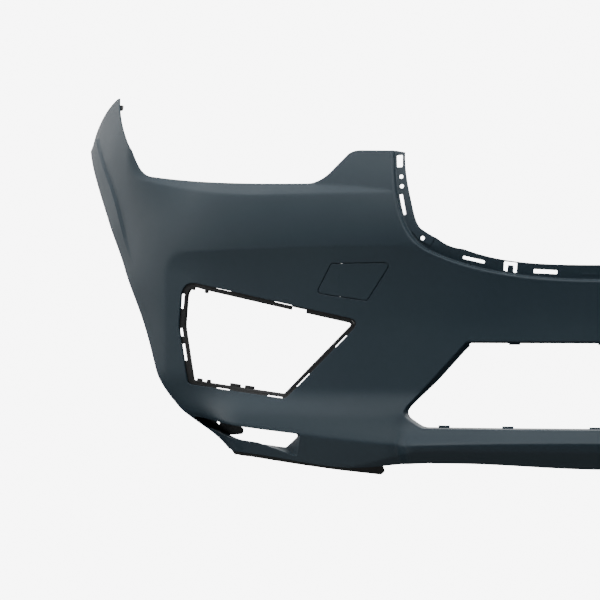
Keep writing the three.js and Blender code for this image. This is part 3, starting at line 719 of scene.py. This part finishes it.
def grille_flange(shell, place, foot, side):
    """Flange behind the bead, with its slots, holes and clip opening; foot is the edge of the bead."""
    free = resample(to_face(GRILLE_EDGE, GRILLE_STEP))
    top = np.linspace(free[-1], foot[-1], 7)[1:-1]
    middle = np.stack([np.zeros(7), np.linspace(foot[0, 1], free[0, 1], 9)[1:-1]], -1)
    outline = np.concatenate([free, top, foot[::-1], middle])
    edge = np.arange(len(free) + len(top) + 1)
    out = normals(outline, True)
    out[0] = (0, 1)
    out[len(free) - 1:len(edge)] = (0, 1)
    out[len(edge):] = 0
    holes = [slot_loop(*slot) for slot in GRILLE_SLOTS]
    holes += [circle(x, z, 3.4) for x, z in GRILLE_HOLES]
    holes.append(rounded(GRILLE_CLIP))
    holes = [to_face(resample(counter_clockwise(hole), 1.6, closed=True), GRILLE_STEP) for hole in holes]
    outs = [normals(hole, True) for hole in holes]
    radius = 0.9
    reach = np.zeros(len(outline))
    reach[edge[:-1]] = radius
    loops = [outline - out * reach[:, None]] + [h - o * radius for h, o in zip(holes, outs)]
    add_sheet(shell, place, loops, GRILLE_STEP, side, spacing=5)
    add_sheet(shell, place, loops, GRILLE_STEP + WALL, side, back=True, spacing=8)
    profile = edge_profile(radius=radius)
    profile[:, 1] += GRILLE_STEP
    table = np.repeat(profile[None], len(edge), 0)
    table[-1, :, 0] = 0
    add_edge(shell, place, outline[edge], out[edge], table, side, closed=False)
    for hole, normal in zip(holes, outs):
        add_edge(shell, place, hole, normal, profile, side)
    pad = drawn(FLANGE_PAD, 2, GRILLE_STEP)
    eye = to_face(counter_clockwise(circle(*GRILLE_HOLES[2], 4.2)), GRILLE_STEP)
    sheet(shell, place, [counter_clockwise(pad)[::-1], eye], GRILLE_STEP - 1.4, 2.2, side, spacing=4)


# Foot of the side slot's wall, one corner for each corner of SLOT: it leans in along the bottom.
SLOT_FOOT = [(697, -243, 4), (493, -266, 5), (519, -288, 6), (566, -284, 25), (634, -272, 18),
             (671, -261, 10)]


def densify(first, second, step=EDGE_STEP):
    """Adds matching points to two closed polylines that have the same number of points."""
    rows = ([], [])
    for i in range(len(first)):
        j = (i + 1) % len(first)
        count = max(int(round(np.linalg.norm(first[j] - first[i]) / step)), 1)
        for part in range(count):
            for row, loop in zip(rows, (first, second)):
                row.append(loop[i] + (loop[j] - loop[i]) * part / count)
    return np.array(rows[0]), np.array(rows[1])


def slot_wall(shell, place, side):
    """Wall of the side slot. Returns its loops on the front and on the back of the skin."""
    mouth, foot = densify(to_face(rounded(SLOT)), to_face(rounded(SLOT_FOOT), SLOT_DEPTH))
    out = normals(mouth, True)
    away = normals(foot, True)
    rows = [place(mouth + out * a, b) for a, b, _ in edge_profile(radius=1.4)[:5]]
    for share in (0.35, 0.7, 0.95):
        rows.append(place(mouth + (foot - mouth) * share, 1.4 + (SLOT_DEPTH - 1.4) * share))
    lip = ((0.5, SLOT_DEPTH), (2.0, SLOT_DEPTH), (2.5, SLOT_DEPTH - 0.6))
    rows += [place(foot - away * a, b) for a, b in lip]
    rows += [place(mouth - out * a, b) for a, b in ((2.6, WALL + 1.5), (4.0, WALL))]
    shell.grid(rows, closed=True, flip=side > 0)
    return mouth - out * 1.4, mouth - out * 4.0


INTAKE_TABS = [(253, -249.2, 18), (150, -249.6, 18), (0, -250.2, 40), (140, -115.6, 18), (0, -115.6, 12)]


def intake_tabs(shell, side):
    """Small tabs on the free edge of the intake's return wall."""
    for x, z, width in INTAKE_TABS:
        if x > 0 or side > 0:
            origin, axes = face_frame(x, z, INTAKE_RETURN - 2.5, side)
            add_block(shell, (width, 4, 3.6), (0, 0, 0), origin, axes, 0.6)


def hinge_frame():
    """Middle of the tow cover's pin (mm) and axes: across, inward and up along the pin."""
    joint = frame["record"]["behaviour"]["joints"][0]
    up = -np.array(joint["axis"])
    level = np.array([up[2], 0, -up[0]])
    inward = np.cross(up, level / np.linalg.norm(level))
    return np.array(joint["pos_m"]) / MM, np.array([np.cross(inward, up), inward, up])


def turned(shell, profile, origin, axes, count=32):
    """Closed body of revolution around the second axis; profile holds (radius, along)."""
    angle = np.linspace(0, 2 * math.pi, count, endpoint=False)
    rings = [np.stack([r * np.cos(angle), np.full(count, a), r * np.sin(angle)], -1) for r, a in profile]
    shell.add_solid(origin + np.concatenate(rings) @ axes, ring_faces(len(profile), count))


def tow_seam(part):
    """The cover's seam on the inner (-1) or the outer (+1) side of its hinge."""
    loop = drawn(TOW, TOW_STEP / 2)
    origin, axes = hinge_frame()
    up = axes[2]
    pin_x = -(origin[0] + up[0] / up[2] * (loop[:, 1] - origin[2]))
    return stretch(loop, part * (loop[:, 0] - at_x(pin_x, loop[:, 1])) > HINGE_CLEAR)


def seats_and_lugs(shell):
    """Solid features on the back of the skin: carrier seat, hinge lugs, seam lip and bracket bosses."""
    add_block(shell, (64, 6, 10), (0, -3, 0), np.zeros(3), np.eye(3), 0.4)
    origin, axes = hinge_frame()
    for place in (-LUG_PLACE, LUG_PLACE):
        add_block(shell, (7, 7.2, 6), (0, -0.2, place), origin, axes, 0.4)
    lip, out = tow_seam(-1)
    section = [(-2.5, WALL - 0.3), (2.6, WALL), (2.6, WALL + 1.3), (-2.5, WALL + 1.3)]
    shell.sweep(on_face(-1), lip, out, section)
    for side in (-1, 1):
        origin, axes = face_frame(*BRACKET_SCREW, side)
        post = [(8.5, -16), (6.8, -14.5), (6.0, -12), (6.0, -1.0), (5.2, -0.4)]
        turned(shell, post, origin, axes)


def moulding():
    shell = Shell()
    outline, out, index = join_stretches(half_outline())
    guides = crease_guides()
    plain = edge_profile()
    run, outer = outer_profiles(outline, index)
    intake = edge_profile(INTAKE_RETURN, radius=2.2, wall=2.6, draft=True)
    intake[-1, 1] = WALL
    first, last = np.zeros(len(outline)), np.zeros(len(outline))
    first[run], last[run] = outer[:, 0, 0], outer[:, -1, 0]
    first[index["intake"]], last[index["intake"]] = intake[0, 0], intake[-1, 0]
    first[index["bead"][:-1]] = last[index["bead"][:-1]] = 0
    corner = index["top"][0]
    out[corner] = (0, 1)
    for side in (-1, 1):
        place = on_face(side)
        holes = [drawn(LAMP)] + ([drawn(TOW, TOW_STEP)] if side < 0 else [])
        outs = [normals(hole, True) for hole in holes]
        cut = [hole + o * plain[0, 0] for hole, o in zip(holes, outs)]
        slot_front, slot_back = slot_wall(shell, place, side)
        add_sheet(shell, place, [outline + out * first[:, None], *cut, slot_front], 0, side, guides=guides)
        back = [outline + out * last[:, None], *cut, slot_back]
        add_sheet(shell, place, back, WALL, side, back=True, spacing=GRID * 2)
        add_edge(shell, place, outline[run], out[run], outer, side, closed=False)
        lip = outline[index["intake"]]
        add_edge(shell, place, lip, out[index["intake"]], intake, side, closed=False,
                 draft=intake_draft(lip))
        for hole, normal in zip(holes, outs):
            add_edge(shell, place, hole, normal, plain, side)
        foot = add_bead(shell, place, outline[index["bead"]], side)
        grille_flange(shell, place, foot, side)
        intake_tabs(shell, side)
    seats_and_lugs(shell)
    return shell


# ---- materials ----
def new_material(name):
    material = bpy.data.materials.new(name)
    material.use_nodes = True
    tree = material.node_tree
    shader = next(node for node in tree.nodes if node.type == "BSDF_PRINCIPLED")
    place = tree.nodes.new("ShaderNodeTexCoord")
    return material, tree, shader, place.outputs["Object"]


def noise(tree, place, scale, detail=3.0, roughness=0.5):
    node = tree.nodes.new("ShaderNodeTexNoise")
    node.inputs["Scale"].default_value = scale
    node.inputs["Detail"].default_value = detail
    node.inputs["Roughness"].default_value = roughness
    tree.links.new(place, node.inputs["Vector"])
    return node.outputs["Fac"]


def spread(tree, value, low, high):
    """Maps the middle of a noise to a range."""
    node = tree.nodes.new("ShaderNodeMapRange")
    node.inputs["From Min"].default_value = 0.3
    node.inputs["From Max"].default_value = 0.7
    node.inputs["To Min"].default_value = low
    node.inputs["To Max"].default_value = high
    tree.links.new(value, node.inputs["Value"])
    return node.outputs["Result"]


def two_colours(tree, value, dark, light):
    node = tree.nodes.new("ShaderNodeMix")
    node.data_type = "RGBA"
    node.inputs["A"].default_value = (*dark, 1)
    node.inputs["B"].default_value = (*light, 1)
    tree.links.new(value, node.inputs["Factor"])
    return node.outputs["Result"]


def bumps(tree, shader, layers):
    """Bump from layers of (height, distance in metres, strength), the coarsest first."""
    before = None
    for height, distance, strength in layers:
        node = tree.nodes.new("ShaderNodeBump")
        node.inputs["Distance"].default_value = distance
        node.inputs["Strength"].default_value = strength
        tree.links.new(height, node.inputs["Height"])
        if before:
            tree.links.new(before, node.inputs["Normal"])
        before = node.outputs["Normal"]
    tree.links.new(before, shader.inputs["Normal"])


def primer():
    """Satin slate-grey primer: slight orange peel, fine overspray grain and uneven sheen."""
    material, tree, shader, place = new_material("primer")
    clouds = spread(tree, noise(tree, place, 5, 4), 0, 1)
    colour = two_colours(tree, clouds, (0.022, 0.043, 0.060), (0.026, 0.049, 0.067))
    tree.links.new(colour, shader.inputs["Base Color"])
    tree.links.new(spread(tree, noise(tree, place, 9, 5), 0.49, 0.56), shader.inputs["Roughness"])
    shader.inputs["Specular IOR Level"].default_value = 0.5
    peel = noise(tree, place, 260, 2)
    grain = noise(tree, place, 2600, 2)
    bumps(tree, shader, [(peel, 0.00006, 0.35), (grain, 0.00002, 0.3)])
    return material


def moulded_plastic(name, dark, light, roughness, grain_scale):
    """Moulded plastic with an etched grain and faint flow marks."""
    material, tree, shader, place = new_material(name)
    flow = spread(tree, noise(tree, place, 22, 4), 0, 1)
    tree.links.new(two_colours(tree, flow, dark, light), shader.inputs["Base Color"])
    rough = spread(tree, noise(tree, place, 60, 3), roughness - 0.05, roughness + 0.06)
    tree.links.new(rough, shader.inputs["Roughness"])
    cells = tree.nodes.new("ShaderNodeTexVoronoi")
    cells.inputs["Scale"].default_value = grain_scale
    tree.links.new(place, cells.inputs["Vector"])
    grain = noise(tree, place, 4000, 2)
    bumps(tree, shader, [(cells.outputs["Distance"], 0.00012, 0.35), (grain, 0.00002, 0.3)])
    return material


def metal(name, dark, light, roughness, stretch):
    """Plated or hardened sheet steel with rolling marks."""
    material, tree, shader, place = new_material(name)
    shader.inputs["Metallic"].default_value = 1.0
    mapping = tree.nodes.new("ShaderNodeMapping")
    mapping.inputs["Scale"].default_value = stretch
    tree.links.new(place, mapping.inputs["Vector"])
    rolled = noise(tree, mapping.outputs["Vector"], 900, 4)
    stain = spread(tree, noise(tree, place, 130, 4), 0, 1)
    tree.links.new(two_colours(tree, stain, dark, light), shader.inputs["Base Color"])
    tree.links.new(spread(tree, rolled, roughness - 0.07, roughness + 0.1), shader.inputs["Roughness"])
    bumps(tree, shader, [(rolled, 0.00003, 0.4)])
    return material


PRIMER = primer()
BLACK = moulded_plastic("black_plastic", (0.010, 0.011, 0.012), (0.014, 0.015, 0.016), 0.5, 1400)
RUBBERY = moulded_plastic("black_rubbery_plastic", (0.008, 0.009, 0.010), (0.012, 0.013, 0.014), 0.62, 1000)
STEEL = metal("zinc_plated_steel", (0.52, 0.53, 0.54), (0.66, 0.66, 0.64), 0.32, (1, 1, 0.12))
SPRING = metal("phosphated_spring_steel", (0.07, 0.072, 0.078), (0.13, 0.13, 0.135), 0.42, (0.15, 1, 1))


# ---- small pieces ----
def inset(corners, distance):
    """The same corners moved in from every edge; they run anticlockwise."""
    points = np.array([corner[:2] for corner in corners], float)
    moved = []
    for i, (x, z, radius) in enumerate(corners):
        into = points[i] - points[i - 1]
        away = points[(i + 1) % len(points)] - points[i]
        into, away = into / np.linalg.norm(into), away / np.linalg.norm(away)
        cross = into[0] * away[1] - into[1] * away[0]
        move = (away - into) * distance / abs(cross) * np.sign(cross)
        moved.append((x + move[0], z + move[1], max(radius - distance, 1)))
    return moved


FRAME_OUTER, FRAME_INNER, FRAME_SLOT_START = -7, 2.4, -4    # distances in from the lamp opening's edge
FRAME_DEPTH, FRAME_WALL = 4, 2.2
FRAME_SET_IN = 6.5
RING_INSET, RING_DEPTH = 4.9, 6
RING_SECTION = [
    (-2.9, 5), (-2.9, 8.0), (-2.6, 8.6), (-2.0, 8.9), (2.0, 8.9), (2.6, 8.6), (2.9, 8.0), (2.9, 5.2),
    (2.6, 4.2), (2.0, 3.6), (0, 3.4), (-2.0, 3.4), (-2.9, 3.6),
]
BUMP_INSET, BUMP_DEPTH, BUMP_SIZE = 8.6, 6.2, (5, 7.6)
# Each slot of the frame: edge of the lamp opening, start and end along it, reach past the edge.
FRAME_SLOTS = [
    (0, 0.2, 0.29, 0.4), (0, 0.53, 0.63, 0.8), (1, 0.19, 0.34, 1.8), (1, 0.68, 0.85, 1.8),
    (2, 0.03, 0.18, 1.8), (2, 0.56, 0.7, 1.2), (3, 0.41, 0.7, 1.8), (3, 0.83, 0.97, 1.8),
    (4, 0.38, 0.7, 1.8),
]
FRAME_BREAK = (0, 0.63, 0.71)   # edge, start and end of the opening in the ring
# Clip heads on the ring: edge, place along it, width.
FRAME_BUMPS = [(0, 0.07, 7), (0, 0.15, 6), (2, 0.365, 18), (2, 0.51, 21), (2, 0.785, 7), (2, 0.88, 10)]


def edge_place(corners, edge, share, distance):
    """Point at a share of one edge of a polygon, moved in from it, and the way along the edge."""
    start = np.array(corners[edge][:2], float)
    along_edge = np.array(corners[(edge + 1) % len(corners)][:2]) - start
    ahead = along_edge / np.linalg.norm(along_edge)
    inward = np.array([-ahead[1], ahead[0]])
    return start + along_edge * share + inward * distance, ahead


def set_in(loop):
    """Moves the rear end of a loop of the lamp frame inwards, clear of the skin's edge."""
    rear = float(at_x(705, -90))
    moved = loop.copy()
    moved[:, 0] -= FRAME_SET_IN * rise(rear - 45, rear - 8, loop[:, 0])
    return moved


def frame_slot(edge, start, end, reach):
    """Outline of one slot of the frame, on the face."""
    corners = [edge_place(LAMP, edge, share, distance)[0] for share, distance in
               ((start, FRAME_SLOT_START), (end, FRAME_SLOT_START), (end, reach), (start, reach))]
    ring = resample(rounded([(x, z, 1.2) for x, z in corners]), 1.8, closed=True)
    return to_face(counter_clockwise(ring), FRAME_DEPTH)


def frame_ring(shell, place):
    """Rounded ring of the frame, broken on its top edge."""
    middle = set_in(drawn(inset(LAMP, RING_INSET), FINE_STEP, RING_DEPTH))
    edge, *shares = FRAME_BREAK
    ends = np.array([edge_place(LAMP, edge, share, RING_INSET)[0] for share in shares])
    ends = to_face(ends, RING_DEPTH)
    gap = np.linalg.norm(middle - ends.mean(0), axis=1) < np.linalg.norm(ends[1] - ends[0]) / 2
    path, away = stretch(middle, ~gap)
    shell.sweep(place, path, away, RING_SECTION)


def lamp_frame(side):
    """Trim frame behind a lamp opening: a slotted flange, a rounded ring and its clip heads."""
    shell = Shell()
    place = on_face(side)
    outer = drawn(inset(LAMP, FRAME_OUTER), depth=FRAME_DEPTH)[::-1]
    inner = drawn(inset(LAMP, FRAME_INNER), depth=FRAME_DEPTH)
    slots = [set_in(frame_slot(*slot)) for slot in FRAME_SLOTS]
    sheet(shell, place, [outer, set_in(inner), *slots], WALL + GAP, FRAME_WALL, side, spacing=4)
    frame_ring(shell, place)
    for edge, share, width in FRAME_BUMPS:
        (x, z), ahead = edge_place(LAMP, edge, share, BUMP_INSET)
        origin, axes = face_frame(x, z, BUMP_DEPTH, side)
        turn = np.array([[ahead[0], 0, ahead[1]], [0, 1, 0], [-ahead[1], 0, ahead[0]]])
        outward = np.array([axes[0] * side, axes[1], axes[2]])
        add_block(shell, (width, *BUMP_SIZE), (0, 0, 0), origin, turn @ outward, 1.1)
    shell.handed_object("lamp_frame", "lamp_trim_frame", side, BLACK, "black_plastic")


BRACKET = [(686, -212, 6), (632, -206, 6), (632, -250, 4), (595, -258, 4), (597, -269, 4), (645, -277, 8),
           (690, -260, 8)]
BRACKET_PAST = 15               # how far the bracket and the deflector run past the wheel arch
DEFLECTOR_PAST = 3


def cut_at_arch(loop, past, depth):
    """Closed outline cut off along the wheel arch, or a little past it."""
    limit = at_y(arch_front(loop[:, 1]) + past, loop[:, 1], depth)
    cut = np.stack([np.minimum(loop[:, 0], limit), loop[:, 1]], -1)
    apart = np.linalg.norm(cut - np.roll(cut, 1, 0), axis=1) > 1
    return resample(cut[apart], FINE_STEP, closed=True)


def slot_bracket(side):
    """Plate behind a side slot, with a see-through eye and its screw hole."""
    shell = Shell()
    outline = drawn(BRACKET, FINE_STEP, BRACKET_DEPTH)
    outline = cut_at_arch(outline, BRACKET_PAST, BRACKET_DEPTH)[::-1]
    eye = to_face(circle(649.5, -253, 3.6), BRACKET_DEPTH)
    screw = to_face(circle(*BRACKET_SCREW[:2], 2.1, 16), BRACKET_DEPTH)
    sheet(shell, on_face(side), [outline, eye, screw], BRACKET_DEPTH, WALL, side, spacing=5)
    shell.handed_object("bracket", "slot_bracket", side, BLACK, "black_plastic")


def deflector(side):
    """Flexible strip riveted behind the bottom edge of the corner."""
    upper = np.linspace(356, 480, 30)
    outer = np.linspace(492, 628, 30)
    outer_z = bottom_line(outer) + 6 - 7 * rise(590, 628, outer)
    edge = np.concatenate([
        np.stack([upper, bottom_line(upper) + 14], -1), np.stack([outer, outer_z], -1),
        line((644, -301), (644, -311), (630, -311), (610, -305), (582, -306), (494, -316)),
        line((417, -324), (358, -330), (351, -324)),
    ])
    loop = to_face(resample(edge, FINE_STEP, closed=True), WALL + GAP)
    loop = cut_at_arch(counter_clockwise(loop), DEFLECTOR_PAST, WALL + GAP)[::-1]
    holes = [to_face(circle(x, bottom_line(float(x)) + 7, 2.9, 16)) for x in RIVETS]
    shell = Shell()
    sheet(shell, on_face(side), [loop, *holes], WALL + GAP, DEFLECTOR_WALL, side, spacing=5)
    shell.handed_object("deflector", "corner_deflector", side, RUBBERY, "black_rubbery_plastic")


def tow_cover():
    """Cover plate with its hinge block and the lip behind the outer part of its seam."""
    shell = Shell()
    loop = drawn(TOW, TOW_STEP)
    loop = loop + normals(loop, True) * COVER_SEAM
    sheet(shell, on_face(-1), [loop[::-1]], 0, COVER_WALL, -1, spacing=4)
    origin, axes = hinge_frame()
    add_block(shell, (8, 6.2, 22), (0, 0.3, 0), origin, axes, 0.4)
    lip, out = tow_seam(1)
    lip_front, lip_back, root, root_end = WALL + 0.4, WALL + 1.5, COVER_WALL - 0.3, WALL + 1
    flap = [(-2.0, lip_front), (4.0, lip_front), (4.0, lip_back), (-2.0, lip_back)]
    web = [(2.0, root), (4.0, root), (4.0, root_end), (2.0, root_end)]
    shell.sweep(on_face(-1), lip, out, flap)
    shell.sweep(on_face(-1), lip, out, web)
    shell.object("tow_cover_plate", PRIMER, body="tow_cover", slot="primed_plastic",
                 replaces=["tow_eye_cover"])


# ---- assembly ----
moulding().object("skin", PRIMER, slot="primed_plastic", replaces=["bumper_skin"])
tow_cover()
for side in (-1, 1):
    lamp_frame(side)
    slot_bracket(side)
    deflector(side)

CAD_LOOKS = {"steel": STEEL, "spring_steel": SPRING, "black_plastic": BLACK, "black_rubbery_plastic": RUBBERY}


def finish_cad_nodes():
    """Materials and softened edges for the fixings that come straight from the frame."""
    for part in frame["record"]["subparts"]:
        piece = bpy.data.objects[part["node"]]
        look = CAD_LOOKS.get(part["material_slot"])
        if look is None:
            continue
        piece.data.materials.clear()
        piece.data.materials.append(look)
        soften = piece.modifiers.new("soften", "BEVEL")
        soften.width = 0.00025
        soften.segments = 2
        soften.limit_method = "ANGLE"
        soften.angle_limit = math.radians(40)


def backdrop():
    """Pale floor that curves up all round the part, far enough out for every view."""
    radius, sweep, height = 22.0, 6.0, 26.0
    turn = np.linspace(0, math.pi / 2, 16)
    profile = [(0.001, FLOOR)]
    profile += [(radius + sweep * math.sin(a), FLOOR + sweep * (1 - math.cos(a))) for a in turn]
    profile.append((radius + sweep, height))
    around = np.linspace(0, 2 * math.pi, 96, endpoint=False)
    rings = np.array([[(r * math.cos(a), r * math.sin(a), z) for a in around] for r, z in profile])
    mesh = bpy.data.meshes.new("backdrop")
    mesh.from_pydata(rings.reshape(-1, 3).tolist(), [], ring_faces(*rings.shape[:2], capped=False))
    mesh.shade_smooth()
    material, _, shader, _ = new_material("backdrop")
    shader.inputs["Base Color"].default_value = (0, 0, 0, 1)
    shader.inputs["Specular IOR Level"].default_value = 0
    shader.inputs["Emission Color"].default_value = (1, 1, 1, 1)
    shader.inputs["Emission Strength"].default_value = PALE
    mesh.materials.append(material)
    stage = bpy.data.objects.new("backdrop", mesh)
    stage.visible_diffuse = stage.visible_glossy = stage.visible_shadow = False
    bpy.context.scene.collection.objects.link(stage)


def area_light(name, place, target, size, power):
    data = bpy.data.lights.new(name, "AREA")
    data.shape = "RECTANGLE"
    data.size, data.size_y = size
    data.energy = power
    light = bpy.data.objects.new(name, data)
    light.location = place
    aim = Vector(target) - Vector(place)
    light.rotation_euler = aim.to_track_quat("-Z", "Y").to_euler()
    light.visible_camera = False
    bpy.context.scene.collection.objects.link(light)


def lighting():
    world = bpy.data.worlds.new("studio")
    world.use_nodes = True
    background = world.node_tree.nodes["Background"]
    background.inputs["Color"].default_value = (1, 1, 1, 1)
    background.inputs["Strength"].default_value = WORLD_LIGHT
    bpy.context.scene.world = world
    area_light("top", (0, 0.5, 4.5), (0, 0.2, 0), (10, 6), 280)
    area_light("top_front", (0, -4, 4.5), (0, 0, 0), (10, 4), 290)
    area_light("left", (-6, 0, 1.5), (0, 0.1, 0), (6, 5), 66)
    area_light("left_back", (-5, 3, 2), (0, 0.1, 0), (5, 5), 135)
    area_light("left_front", (-5, -3.5, 1), (0, 0, 0), (5, 5), 14)
    area_light("low_left", (-4, -3, -3), (0, 0, -0.2), (5, 5), 41)
    area_light("right", (6, 0, 1.5), (0, 0.1, 0), (6, 5), 108)
    area_light("below", (0, -1, -4), (0, 0, 0), (10, 6), 50)
    area_light("behind", (0, 6, 2.2), (0, 0.1, 0), (8, 4), 260)


finish_cad_nodes()
backdrop()
lighting()
